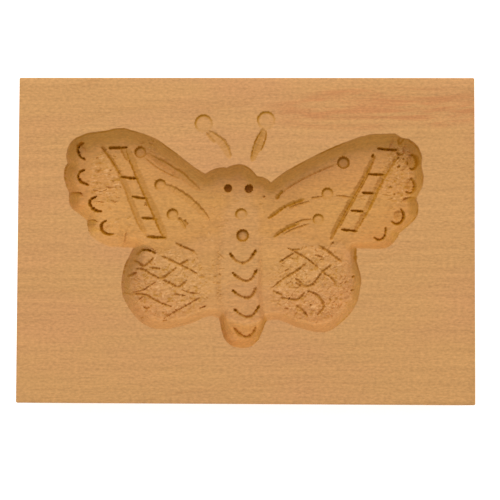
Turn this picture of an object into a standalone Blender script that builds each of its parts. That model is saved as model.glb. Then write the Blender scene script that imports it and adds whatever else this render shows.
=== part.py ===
"""Butter mold: one block of pale hardwood with a butterfly carved into its top face as a hollow.

The block lies flat with the carved side up. Butter is pressed into the hollow and turned out, so the
hollow's walls give the butterfly its outline, and the gouge marks on its floor stand proud on the butter.

The frame has X along the grain, Y across it towards the head, and Z up. The origin is the middle of the
block's underside. Run it with: blender --background --python part.py
"""
import cmath
import math

import bmesh
import bpy
from mathutils import Vector

MM = 0.001

# The block
LENGTH = 140 * MM
WIDTH = 100 * MM
THICKNESS = 20 * MM
EDGE_BEVEL = 0.5 * MM

# The hollow, measured down from the carved face
WING_DEPTH = 7.0 * MM
BODY_DEPTH = 8.0 * MM
WALL_RUN = 3.2 * MM          # how far the foot of a wall lies inside its rim
WALL_PROFILE = [(0.0, 0.0), (0.35, 0.55), (0.68, 0.86), (1.0, 1.0)]  # share of the run, share of the depth
RIM_STEP = 1.6 * MM          # spacing of the points along the rim
RIM_EASING = 3               # neighbours each way that a wall's foot is averaged over
OVERSHOOT = 0.6 * MM         # how far a cutter stands above the surface that it cuts

# The body channel: an oval along the body, deeper than the wings, in mm
BODY_CENTRE = (-1.8, -6.5)
BODY_HALF = (6.8, 20.5)
BODY_LEAN = math.radians(2.5)
BODY_POINTS = 36

# Gouge marks
CUT_DEPTH = 0.7 * MM
CUT_STEP = 1.2 * MM
ARC_PIECES = 6               # straight pieces that a curved mark is made of
CUT_END = 0.15               # depth at a mark's ends over its depth in the middle
EYE_DEPTH = 2.2 * MM
ROUND_DEPTH = 0.9 * MM
ROUND_POINTS = 16
ROUND_TAPER = 0.75           # floor radius of a round mark over its mouth radius

WOOD_COLOUR = (0.597, 0.314, 0.122, 1.0)
WOOD_ROUGHNESS = 0.62

# The rim, in mm from the middle of the block, clockwise from the notch between the left wing and the head.
# Each run is one smooth stretch, and two runs meet in a corner.
RIM_RUNS = [
    # head
    [(-12.4, 20.4), (-9.7, 21.9), (-5.9, 22.2)],
    [(-5.9, 22.2), (-2.2, 23.4), (1.5, 21.9), (3.5, 19.7)],
    [(3.5, 19.7), (5.8, 19.2), (7.8, 17.8)],
    # right fore wing
    [(7.8, 17.8), (15.0, 22.7), (25.0, 27.9), (34.0, 31.5), (42.3, 32.8), (46.0, 32.6)],
    [(46.0, 32.6), (50.0, 31.1), (52.9, 28.4), (54.0, 25.0), (53.8, 22.6)],
    [(53.8, 22.6), (54.4, 18.8), (52.5, 13.2)],
    [(52.5, 13.2), (52.7, 9.5), (50.7, 5.4), (47.0, 2.2)],
    [(47.0, 2.2), (44.6, -1.4), (41.0, -2.6), (34.0, -2.4)],
    # right hind wing
    [(34.0, -2.4), (34.6, -8.3), (35.2, -14.0), (33.5, -20.2), (29.4, -25.0), (24.0, -28.1)],
    [(24.0, -28.1), (17.3, -27.0), (10.4, -24.5), (7.0, -24.6)],
    # tail
    [(7.0, -24.6), (5.0, -28.7), (2.9, -31.8), (-0.5, -33.0), (-4.2, -32.4), (-6.8, -28.9), (-7.7, -23.9)],
    # left hind wing
    [(-7.7, -23.9), (-10.5, -23.2), (-17.0, -25.6), (-23.9, -27.3), (-28.7, -27.0)],
    [(-28.7, -27.0), (-33.7, -23.3), (-37.4, -17.6), (-37.6, -9.6), (-34.3, -2.6)],
    # left fore wing
    [(-34.3, -2.6), (-41.5, -2.3), (-46.2, -0.3), (-48.7, 5.7)],
    [(-48.7, 5.7), (-53.0, 9.0), (-54.3, 14.4)],
    [(-54.3, 14.4), (-55.9, 19.0), (-54.8, 23.5)],
    [(-54.8, 23.5), (-54.9, 28.0), (-50.3, 32.3), (-43.5, 33.5), (-37.6, 34.4)],
    [(-37.6, 34.4), (-29.1, 31.9), (-20.9, 26.3), (-12.4, 20.4)],
]

# Narrow cuts in the wings' floor, in mm: each is (mouth width, points along it). Three points are an arc.
WING_CUTS = [
    # crescents along the left wing's edge
    (1.0, [(-49.3, 29.3), (-51.5, 27.2), (-49.1, 24.6)]),
    (1.0, [(-49.4, 21.4), (-51.5, 19.1), (-48.1, 16.8)]),
    (1.0, [(-45.7, 13.4), (-48.1, 11.2), (-43.8, 8.5)]),
    (1.0, [(-42.2, 5.9), (-43.8, 3.4), (-39.7, 1.6)]),
    # crescents along the right wing's edge
    (1.0, [(50.4, 27.0), (52.2, 24.0), (50.0, 22.0)]),
    (1.0, [(50.4, 19.2), (51.5, 16.4), (48.8, 14.6)]),
    (1.0, [(47.4, 9.5), (48.0, 6.3), (44.6, 5.6)]),
    (1.0, [(42.8, 3.9), (42.3, 0.9), (39.6, 0.8)]),
    # the left ladder's rungs
    (0.9, [(-42.0, 28.0), (-36.3, 28.2)]),
    (0.9, [(-38.2, 19.2), (-33.0, 18.7)]),
    (0.9, [(-34.8, 13.1), (-30.0, 12.7)]),
    (0.9, [(-31.7, 6.6), (-27.0, 6.2)]),
    (0.9, [(-30.0, 0.7), (-24.3, 0.5)]),
    # the right ladder's rungs
    (0.9, [(40.2, 28.0), (46.3, 27.7)]),
    (0.9, [(37.3, 20.2), (42.7, 20.1)]),
    (0.9, [(35.8, 14.5), (39.2, 14.3)]),
    (0.9, [(32.3, 8.9), (36.0, 8.7)]),
    (0.9, [(29.3, 3.1), (34.3, 2.8)]),
    # the ladders' rails
    (1.8, [(-44.2, 28.6), (-38.6, 21.0), (-34.0, 8.0), (-30.6, 2.0)]),
    (2.4, [(-36.0, 27.8), (-31.5, 17.0), (-27.0, 7.5), (-24.0, 0.5)]),
    (1.5, [(39.6, 26.0), (34.5, 16.5), (29.5, 8.0), (25.8, 0.5)]),
    (1.5, [(45.8, 24.8), (41.0, 18.0), (37.0, 9.5), (34.0, 4.0)]),
    # veins between the round marks and the body
    (1.8, [(-31.0, 25.8), (-24.0, 22.5), (-14.0, 15.5)]),
    (1.5, [(-24.8, 16.4), (-18.5, 13.2), (-11.2, 6.3)]),
    (1.5, [(-21.0, 7.0), (-18.3, 3.2)]),
    (1.4, [(28.0, 23.5), (18.0, 19.0), (9.0, 12.8)]),
    (1.4, [(23.3, 13.6), (15.0, 11.4), (6.8, 6.7)]),
    (1.8, [(20.6, 6.0), (15.0, 3.8), (9.0, 1.0)]),
    # lattice on the left hind wing
    (1.0, [(-21.2, -1.2), (-15.5, -3.7)]),
    (1.0, [(-25.8, -5.0), (-20.0, -7.5), (-15.0, -10.2)]),
    (1.0, [(-34.2, -9.2), (-30.5, -9.8), (-25.3, -11.6), (-21.0, -8.7)]),
    (1.0, [(-24.0, -12.7), (-20.5, -14.3), (-18.0, -12.6)]),
    (1.0, [(-34.5, -17.0), (-28.5, -18.2), (-22.5, -20.7)]),
    (1.0, [(-25.0, -23.7), (-20.5, -21.2), (-13.0, -17.5)]),
    (1.0, [(-33.8, -16.0), (-30.8, -15.2), (-27.0, -13.0)]),
    (1.0, [(-30.5, -7.8), (-28.5, -5.8)]),
    # lattice on the right hind wing
    (1.0, [(22.3, -1.3), (29.5, -6.8)]),
    (1.0, [(13.4, -2.4), (16.8, -4.3), (20.5, -5.8)]),
    (1.0, [(10.3, -7.0), (14.8, -3.7)]),
    (1.0, [(8.3, -14.5), (12.0, -11.5), (16.5, -8.5)]),
    (1.0, [(15.0, -11.5), (19.0, -13.6), (22.0, -11.2), (26.5, -7.0)]),
    (1.0, [(24.5, -10.7), (28.2, -14.3)]),
    (1.0, [(8.4, -15.7), (12.5, -17.4), (15.5, -18.2)]),
    (1.0, [(18.8, -15.4), (23.6, -18.2)]),
    (1.0, [(23.8, -20.0), (22.0, -22.8)]),
    (1.0, [(15.8, -20.0), (19.2, -23.5)]),
]

# Cuts in the body's floor: the rings of the abdomen
BODY_CUTS = [
    (1.1, [(-4.4, -4.5), (-0.5, -7.0), (3.1, -3.3)]),
    (1.1, [(-3.9, -10.2), (0.0, -12.7), (3.5, -9.3)]),
    (1.1, [(-3.8, -15.6), (0.3, -17.9), (3.4, -14.6)]),
    (1.1, [(-3.0, -21.3), (0.6, -23.7), (3.9, -20.5)]),
]
TAIL_CUT = (1.1, [(-3.2, -26.9), (0.1, -29.3), (3.2, -26.4)])

# Shallow cuts in the flat top face: the feelers' stems
FEELER_CUTS = [
    (1.6, [(-10.9, 33.2), (-7.6, 30.4), (-5.1, 26.2)]),
    (2.6, [(5.5, 33.7), (4.2, 29.6), (1.6, 24.6)]),
]

# Round marks, in mm: (x, y, radius)
WING_ROUNDS = [
    (-32.2, 27.0, 1.8), (-26.2, 17.0, 1.8), (-22.5, 7.8, 1.8),
    (30.0, 24.0, 1.9), (25.0, 14.2, 1.8), (22.2, 6.3, 1.8),
]
EYES = [(-5.4, 16.0, 1.25), (1.0, 15.9, 1.3)]
BODY_ROUNDS = [(-1.3, 8.2, 1.95), (-0.9, 1.5, 2.0)]
FEELER_ROUNDS = [(-13.0, 35.8, 2.8), (6.2, 36.8, 2.85)]


def clear_scene():
    """Remove the objects that a new file starts with."""
    for obj in list(bpy.data.objects):
        bpy.data.objects.remove(obj, do_unlink=True)


def smooth_run(points, step):
    """Points about one step apart on a Catmull-Rom curve through the given mm points, without the last."""
    knots = [Vector(point) * MM for point in points]
    ends = [2 * knots[0] - knots[1], *knots, 2 * knots[-1] - knots[-2]]
    run = []
    for before, start, end, after in zip(ends, ends[1:], ends[2:], ends[3:]):
        count = max(1, round((end - start).length / step))
        for index in range(count):
            t = index / count
            bend = (before * (-t + 2 * t**2 - t**3) + start * (2 - 5 * t**2 + 3 * t**3)
                    + end * (t + 4 * t**2 - 3 * t**3) + after * (t**3 - t**2))
            run.append(bend / 2)
    return run


def arc(points, pieces):
    """Points along the circle's arc that runs through three mm points."""
    start, middle, end = (complex(*point) for point in points)
    lean = (end - start) / (middle - start)
    centre = start + (middle - start) * (lean - abs(lean) ** 2) / (2j * lean.imag)
    turn = cmath.phase((middle - centre) / (start - centre)) + cmath.phase((end - centre) / (middle - centre))
    spots = [centre + (start - centre) * cmath.exp(1j * turn * k / pieces) for k in range(pieces + 1)]
    return [Vector((spot.real, spot.imag)) * MM for spot in spots]


def mark_path(points):
    """The route of a mark, with both of its ends."""
    if len(points) == 3:
        return arc(points, ARC_PIECES)
    return smooth_run(points, CUT_STEP) + [Vector(points[-1]) * MM]


def eased(loop, reach):
    """A closed loop with each point moved to the mean of its neighbours."""
    count = len(loop)
    return [sum((loop[(i + k) % count] for k in range(-reach, reach + 1)), Vector((0, 0))) / (2 * reach + 1)
            for i in range(count)]


def inset(loop, distance):
    """A clockwise loop moved towards its inside."""
    count = len(loop)
    moved = []
    for i, point in enumerate(loop):
        along = (loop[(i + 1) % count] - loop[i - 1]).normalized()
        moved.append(point + distance * Vector((along.y, -along.x)))
    return moved


def loft(name, rings, heights):
    """A closed solid through stacked loops that have the same number of points, from top to bottom."""
    mesh = bpy.data.meshes.new(name)
    bm = bmesh.new()
    stack = [[bm.verts.new((*point, height)) for point in ring] for ring, height in zip(rings, heights)]
    count = len(stack[0])
    for upper, lower in zip(stack, stack[1:]):
        for i in range(count):
            j = (i + 1) % count
            bm.faces.new((upper[i], upper[j], lower[j], lower[i]))
    bm.faces.new(reversed(stack[0]))
    bm.faces.new(stack[-1])
    bmesh.ops.recalc_face_normals(bm, faces=bm.faces)
    bm.to_mesh(mesh)
    bm.free()
    obj = bpy.data.objects.new(name, mesh)
    bpy.context.scene.collection.objects.link(obj)
    return obj


def oval(centre, half, lean, count):
    """A clockwise ellipse, in metres from mm values, leaning by an angle."""
    loop = []
    for i in range(count):
        angle = -2 * math.pi * i / count
        x = half[0] * math.cos(angle)
        y = half[1] * math.sin(angle)
        loop.append(Vector((centre[0] + x * math.cos(lean) - y * math.sin(lean),
                            centre[1] + x * math.sin(lean) + y * math.cos(lean))) * MM)
    return loop


def hollow_cutter():
    """The whole butterfly: the rim on the carved face, walls that curve in, and a flat floor."""
    rim = [point for run in RIM_RUNS for point in smooth_run(run, RIM_STEP)]
    soft_rim = eased(rim, RIM_EASING)
    first_slope = WALL_PROFILE[1][0] * WALL_RUN / (WALL_PROFILE[1][1] * WING_DEPTH)
    rings = [inset(rim, -first_slope * OVERSHOOT)]
    heights = [THICKNESS + OVERSHOOT]
    for run_share, depth_share in WALL_PROFILE[1:]:
        foot = inset(soft_rim, run_share * WALL_RUN)
        upright = inset(rim, run_share * WALL_RUN) if run_share < 0.5 else foot
        rings.append([(a + b) / 2 for a, b in zip(upright, foot)])
        heights.append(THICKNESS - depth_share * WING_DEPTH)
    return loft("hollow_cutter", rings, heights)


def body_cutter():
    """The body channel, sunk below the wings' floor."""
    extra = BODY_DEPTH - WING_DEPTH
    mouth = oval(BODY_CENTRE, BODY_HALF, BODY_LEAN, BODY_POINTS)
    rings = [inset(mouth, -OVERSHOOT), inset(mouth, extra)]
    return loft("body_cutter", rings, [THICKNESS - WING_DEPTH + OVERSHOOT, THICKNESS - BODY_DEPTH])


def cut_cutter(name, width, points, surface, depth=CUT_DEPTH):
    """A V-shaped cut along a curve, pointed at both ends."""
    path = mark_path(points)
    slope = 0.5 * width * MM / depth
    mesh = bpy.data.meshes.new(name)
    bm = bmesh.new()
    stations = []
    last = len(path) - 1
    for i, point in enumerate(path):
        sunk = depth * (1 - (1 - CUT_END) * (2 * i / last - 1) ** 4)
        along = (path[min(i + 1, last)] - path[max(i - 1, 0)]).normalized()
        side = Vector((-along.y, along.x)) * slope * (sunk + OVERSHOOT)
        stations.append([
            bm.verts.new((*(point + side), surface + OVERSHOOT)),
            bm.verts.new((*(point - side), surface + OVERSHOOT)),
            bm.verts.new((*point, surface - sunk)),
        ])
    for near, far in zip(stations, stations[1:]):
        for i in range(3):
            j = (i + 1) % 3
            bm.faces.new((near[i], near[j], far[j], far[i]))
    bm.faces.new(reversed(stations[0]))
    bm.faces.new(stations[-1])
    bmesh.ops.recalc_face_normals(bm, faces=bm.faces)
    bm.to_mesh(mesh)
    bm.free()
    obj = bpy.data.objects.new(name, mesh)
    bpy.context.scene.collection.objects.link(obj)
    return obj


def round_cutter(name, x, y, radius, surface, depth):
    """A round mark whose wall leans in a little."""
    slope = radius * (1 - ROUND_TAPER) * MM / depth
    rings = [oval((x, y), (r, r), 0, ROUND_POINTS)
             for r in (radius + slope * OVERSHOOT / MM, radius * ROUND_TAPER)]
    return loft(name, rings, [surface + OVERSHOOT, surface - depth])


def wood():
    """Pale, close-grained wood."""
    material = bpy.data.materials.new("wood")
    material.use_nodes = True
    shader = material.node_tree.nodes["Principled BSDF"]
    shader.inputs["Base Color"].default_value = WOOD_COLOUR
    shader.inputs["Roughness"].default_value = WOOD_ROUGHNESS
    shader.inputs["Metallic"].default_value = 0.0
    return material


def block():
    """The uncut block, with its edges broken."""
    mesh = bpy.data.meshes.new("mold_block")
    bm = bmesh.new()
    bmesh.ops.create_cube(bm, size=1.0)
    bmesh.ops.scale(bm, vec=(LENGTH, WIDTH, THICKNESS), verts=bm.verts)
    bmesh.ops.translate(bm, vec=(0, 0, THICKNESS / 2), verts=bm.verts)
    bmesh.ops.bevel(bm, geom=bm.edges[:], offset=EDGE_BEVEL, segments=1, affect="EDGES")
    bm.to_mesh(mesh)
    bm.free()
    obj = bpy.data.objects.new("mold_block", mesh)
    bpy.context.scene.collection.objects.link(obj)
    obj.data.materials.append(wood())
    return obj


def gouge_marks():
    """A cutter for each mark on the wings, the body and the flat face."""
    top = THICKNESS
    wing_floor = THICKNESS - WING_DEPTH
    body_floor = THICKNESS - BODY_DEPTH
    groups = [
        ("wing_cut", WING_CUTS, wing_floor),
        ("body_cut", BODY_CUTS, body_floor),
        ("tail_cut", [TAIL_CUT], wing_floor),
        ("feeler_cut", FEELER_CUTS, top),
    ]
    rounds = [
        ("wing_round", WING_ROUNDS, wing_floor, ROUND_DEPTH),
        ("eye", EYES, wing_floor, EYE_DEPTH),
        ("body_round", BODY_ROUNDS, body_floor, ROUND_DEPTH),
        ("feeler_round", FEELER_ROUNDS, top, ROUND_DEPTH / 2),
    ]
    cutters = []
    for label, cuts, surface in groups:
        for number, (width, points) in enumerate(cuts, 1):
            cutters.append(cut_cutter(f"{label}_{number}", width, points, surface))
    for label, marks, surface, depth in rounds:
        for number, (x, y, radius) in enumerate(marks, 1):
            cutters.append(round_cutter(f"{label}_{number}", x, y, radius, surface, depth))
    return cutters


def cut_away(obj, cutters, label):
    """Take a group of cutters out of a solid."""
    group = bpy.data.collections.new(label)
    bpy.context.scene.collection.children.link(group)
    for cutter in cutters:
        bpy.context.scene.collection.objects.unlink(cutter)
        group.objects.link(cutter)
        cutter.hide_render = True
        cutter.display_type = "WIRE"
    cut = obj.modifiers.new(label, "BOOLEAN")
    cut.operation = "DIFFERENCE"
    cut.operand_type = "COLLECTION"
    cut.collection = group
    cut.solver = "EXACT"


def main():
    clear_scene()
    obj = block()
    cut_away(obj, [hollow_cutter()], "hollow")
    cut_away(obj, [body_cutter()], "body")
    cut_away(obj, gouge_marks(), "marks")


main()
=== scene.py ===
"""Looks of the butter mold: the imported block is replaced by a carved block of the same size.

Lengths in the carving are in mm from the middle of the block's face, X along the grain and Y towards the
butterfly's head. UNIT turns them into the frame's metres.
"""
import math
from collections import namedtuple

import bmesh
import bpy
import numpy as np
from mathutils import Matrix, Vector
from mathutils.geometry import delaunay_2d_cdt


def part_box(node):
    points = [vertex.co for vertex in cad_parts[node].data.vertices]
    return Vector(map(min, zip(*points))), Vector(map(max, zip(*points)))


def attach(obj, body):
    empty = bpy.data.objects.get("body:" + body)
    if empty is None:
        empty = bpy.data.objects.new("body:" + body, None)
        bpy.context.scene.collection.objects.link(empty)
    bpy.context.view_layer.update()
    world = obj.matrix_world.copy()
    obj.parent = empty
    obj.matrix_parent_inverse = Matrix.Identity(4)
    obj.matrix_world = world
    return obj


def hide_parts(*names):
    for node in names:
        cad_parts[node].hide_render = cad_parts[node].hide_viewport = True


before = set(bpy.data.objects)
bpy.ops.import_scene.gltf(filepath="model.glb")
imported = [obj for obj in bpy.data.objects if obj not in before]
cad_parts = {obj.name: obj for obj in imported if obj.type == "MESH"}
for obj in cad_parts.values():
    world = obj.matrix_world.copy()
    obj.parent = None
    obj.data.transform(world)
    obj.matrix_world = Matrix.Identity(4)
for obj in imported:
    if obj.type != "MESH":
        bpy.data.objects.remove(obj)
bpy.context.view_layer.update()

NODE = "mold_block"
FACE_LENGTH = 140.0          # mm, what the frame's block measures along X
low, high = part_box(NODE)
UNIT = (high.x - low.x) / FACE_LENGTH
HALF_X = (high.x - low.x) / UNIT / 2
HALF_Y = (high.y - low.y) / UNIT / 2
THICK = (high.z - low.z) / UNIT

# The camera's place in mm: over this point of the face, this high above the floor. It looks nearly straight
# down, turned by a degree or two about X, Y and Z.
SIGHT = np.array([8.3, -16.9])
SIGHT_HEIGHT = 386.4
TURN = [math.radians(angle) for angle in (2.17, 1.07, 0.23)]
LENS = 86.4                  # focal length, in mm
SENSOR = 36                  # width, in mm

# The stage, in metres and Blender's units of strength
FLOOR_HALF = 3.0
FLOOR_GLOW = 0.6             # makes the floor plain white
SKY_STRENGTH = 0.64
LAMP_SIZE = (1.3, 1.1)
LAMP_POWER = 10.0
LAMP_REACH = 1.3             # how far the lamp stands from the block
LAMP_AZIMUTH = math.radians(98)
LAMP_ELEVATION = math.radians(50)

# Carving depths in mm
UPPER_DEPTH = 6.4
HIND_DEPTH = 6.5
TAIL_DEPTH = 6.0
CHANNEL_DEPTH = 1.4          # how much deeper the abdomen's channel is than the floor around it
WALL_CURVE = 2.0             # 1 is a straight wall, more is steeper at the rim and flatter at its foot
CORNER_LIFT = 3.2            # how much shallower the left fore wing is at its lower left corner
LIFTED = np.array([-46.5, -0.5])
LIFT_REACH = 15.0
BLEND = 1.2                  # how far in depth two cavities' floors run into each other

# The block's edges and corners, in mm
EDGE = 0.45                  # how far the softened edges reach over each face
BEND_DROP = 0.13             # the middle of a softened edge is this far below the face
BEND_INSET = EDGE * 0.35     # and this far inside the side
CORNER = 0.5                 # radius of the upright corners
SMALLEST_CORNER = 0.02       # what is left of that radius where the outline is moved in
CORNER_POINTS = 6
SIDE_POINTS_X = 56
SIDE_POINTS_Y = 40

# Mesh spacing in mm: in the marks and torn wood, on the other floors and walls, and on the flat face
FINE = 0.21
MEDIUM = 0.36
COARSE = 3.0
GRID_MARGIN = 0.2            # how far the grid of points stays inside the softened edges
RIM_SPACING = 0.3
RIM_EASING = 4               # neighbours each way that a wall's width is averaged over
RIM_LINE = 0.25              # a painted shade line lies this far inside the rims turned from the lamp, and is twice as wide
LINE_SPACING = 0.22
CELL = 0.5                   # size of the cells that say how fine the mesh is
APART = 0.11                 # how close a grid point may come to an outline's point
SHARP_ANGLE = math.radians(38)
PIT_SHADE_TONE = 0.3               # how much painted shade, partly end grain, darkens the pits of torn wood
TEAR_SEED = 41

# Each cavity is a list of (wall run, points): the wall's width seen from above, then one smooth stretch of
# its outline. Stretches meet in corners. The last stretches of a cavity lie inside its neighbours.
UPPER = [
    # left fore wing, from the corner with the hind wing, clockwise
    (4.5, [(-34.4, -2.5), (-36.0, -2.4), (-38.0, -2.4)]),
    (8.6, [(-38.0, -2.4), (-41.5, -2.3), (-45.3, -0.8), (-47.3, 0.8), (-48.2, 2.4)]),
    (2.1, [(-48.2, 2.4), (-48.5, 4.2), (-48.7, 5.8)]),
    (4.6, [(-48.7, 5.8), (-50.2, 7.1), (-51.9, 8.3)]),
    (2.8, [(-51.9, 8.3), (-53.3, 9.4), (-54.2, 11.2), (-54.4, 12.9), (-54.3, 14.4)]),
    (3.0, [(-54.3, 14.4), (-55.3, 16.9), (-55.9, 19.4), (-55.7, 21.8), (-54.8, 23.4)]),
    (3.1, [(-54.8, 23.4), (-55.3, 25.8), (-54.7, 28.5), (-53.7, 30.1), (-52.1, 31.5)]),
    (5.1, [(-52.1, 31.5), (-48.6, 32.8), (-43.9, 33.5), (-40.0, 34.3), (-37.6, 34.4)]),
    (4.8, [(-37.6, 34.4), (-33.2, 33.2), (-28.2, 31.4), (-23.2, 28.1), (-18.8, 24.7), (-15.0, 21.9),
           (-12.4, 20.4)]),
    # head
    (3.9, [(-12.4, 20.4), (-10.3, 21.6), (-7.9, 22.3), (-5.9, 22.2)]),
    (4.1, [(-5.9, 22.2), (-3.8, 23.1), (-1.2, 23.3), (1.2, 22.1), (3.5, 19.7)]),
    (3.4, [(3.5, 19.7), (5.6, 19.3), (7.8, 17.8)]),
    # right fore wing
    (4.1, [(7.8, 17.8), (11.9, 20.9), (17.7, 24.2), (25.0, 27.9), (32.7, 31.0)]),
    (4.7, [(32.7, 31.0), (36.9, 32.3), (42.0, 32.8), (45.6, 32.9)]),
    (3.3, [(45.6, 32.9), (47.6, 31.6), (50.0, 31.1)]),
    (2.3, [(50.0, 31.1), (52.1, 29.6), (53.8, 26.3), (53.8, 22.6)]),
    (2.5, [(53.8, 22.6), (54.4, 19.6), (54.0, 16.5), (52.5, 13.3)]),
    (2.9, [(52.1, 12.9), (52.8, 10.6), (52.5, 7.8), (50.7, 5.4), (47.0, 2.2)]),
    (3.0, [(47.0, 2.2), (46.0, 0.2), (43.9, -1.9), (41.5, -2.6), (38.0, -2.5), (33.9, -2.4)]),
    # inside the hind wings
    (1.6, [(33.9, -2.4), (32.4, -4.6), (29.0, -9.0)]),
    (5.0, [(29.0, -9.0), (22.0, -14.0), (12.0, -17.0), (-2.0, -18.0), (-14.0, -16.0), (-25.0, -11.0),
           (-31.0, -6.0), (-34.4, -2.5)]),
]
LEFT_HIND = [
    (3.0, [(-8.0, -23.9), (-10.1, -23.2), (-12.6, -23.7), (-15.8, -25.2), (-19.4, -26.3), (-23.9, -27.3)]),
    (3.4, [(-23.9, -27.3), (-28.4, -27.1), (-32.0, -25.0), (-35.4, -21.2), (-37.5, -17.2)]),
    (3.0, [(-37.5, -17.2), (-37.9, -13.0), (-37.2, -8.4), (-35.7, -5.3), (-34.4, -2.5)]),
    (3.4, [(-34.4, -2.5), (-33.6, -1.2), (-32.0, 0.6)]),
    (9.0, [(-32.0, 0.6), (-28.0, 4.0), (-22.0, 7.0), (-12.0, 9.0), (-2.0, 8.0), (5.0, 2.0), (6.0, -8.0)]),
    (2.0, [(6.0, -8.0), (4.0, -22.0), (0.0, -27.0), (-5.2, -26.2), (-8.0, -23.9)]),
]
RIGHT_HIND = [
    (1.5, [(33.8, -2.4), (33.8, -5.5), (34.3, -7.6)]),
    (2.6, [(34.3, -7.6), (35.1, -10.4), (35.3, -13.2), (34.4, -18.3)]),
    (3.0, [(34.4, -18.3), (32.3, -22.1), (29.6, -24.9), (26.4, -27.3), (24.0, -28.1)]),
    (2.8, [(24.0, -28.1), (20.0, -27.7), (16.0, -26.6), (11.2, -24.7), (8.6, -24.3), (6.8, -24.6)]),
    (2.0, [(6.8, -24.6), (4.2, -26.6), (-1.0, -27.4), (-6.0, -22.0), (-8.0, -10.0)]),
    (9.0, [(-8.0, -10.0), (-8.0, 0.0), (0.0, 8.0), (10.0, 9.0), (20.0, 8.0), (27.0, 5.0), (30.0, 3.0)]),
    (3.0, [(30.0, 3.0), (32.0, 1.4), (33.2, -0.4), (33.8, -2.4)]),
]
TAIL = [
    (1.4, [(6.8, -24.6), (6.2, -25.4), (5.4, -27.6), (4.3, -30.3)]),
    (3.2, [(4.3, -30.3), (2.2, -32.3), (-0.4, -33.0), (-3.4, -32.7)]),
    (1.3, [(-3.4, -32.7), (-5.8, -31.0), (-6.9, -28.7), (-7.4, -26.2), (-8.0, -23.9)]),
    (2.0, [(-8.0, -23.9), (-8.8, -21.4), (-9.6, -18.0), (-5.0, -12.0), (0.0, -10.0), (5.0, -12.0),
           (8.6, -18.0), (7.9, -21.6), (6.8, -24.6)]),
]
# The body's channel, in the same form: its runs are how softly it sinks into the floor
CHANNEL = [
    (2.0, [(6.6, -24.3), (5.0, -27.0), (3.4, -30.4), (-0.8, -31.8), (-4.8, -30.2), (-6.4, -27.0),
           (-7.9, -23.9)]),
    (3.4, [(-7.9, -23.9), (-9.7, -19.0), (-10.5, -11.0), (-10.3, -4.0), (-9.6, 3.0), (-8.6, 11.0)]),
    (6.0, [(-8.6, 11.0), (-6.5, 17.0), (-1.8, 19.5), (3.0, 17.0), (5.2, 11.0)]),
    (2.4, [(5.2, 11.0), (5.5, 3.0), (5.7, -6.0), (5.6, -14.0), (5.8, -20.0), (6.6, -24.3)]),
]

# Round marks: (x, y, radius, depth, how far the floor climbs towards the mark's lower side, 0 to 1). These
# and the cuts below are where they show on the face's level from SIGHT. on_floor finds them on the floors.
ROUNDS = [
    # left wing
    (-32.4, 26.9, 1.9, 1.1, 0.6), (-26.2, 16.9, 1.9, 1.1, 0.85), (-22.4, 7.8, 1.9, 1.0, 0.85),
    # right wing
    (29.9, 23.8, 2.0, 1.4, 0.3), (25.0, 14.3, 1.9, 0.9, 0.85), (22.2, 6.4, 1.8, 0.8, 0.9),
    # body
    (-1.3, 7.9, 1.95, 0.8, 1.0), (-0.9, 1.45, 2.0, 1.6, 0.3),
]
# The same for the feelers' ends, which lie in the flat face
FEELER_ENDS = [(-13.0, 35.8, 2.85, 0.5, 0.85), (6.2, 36.8, 2.9, 0.5, 0.9)]
EYES = [(-5.4, 15.9, 1.25), (1.0, 15.8, 1.3)]
EYE_DEPTH = 1.9
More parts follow.
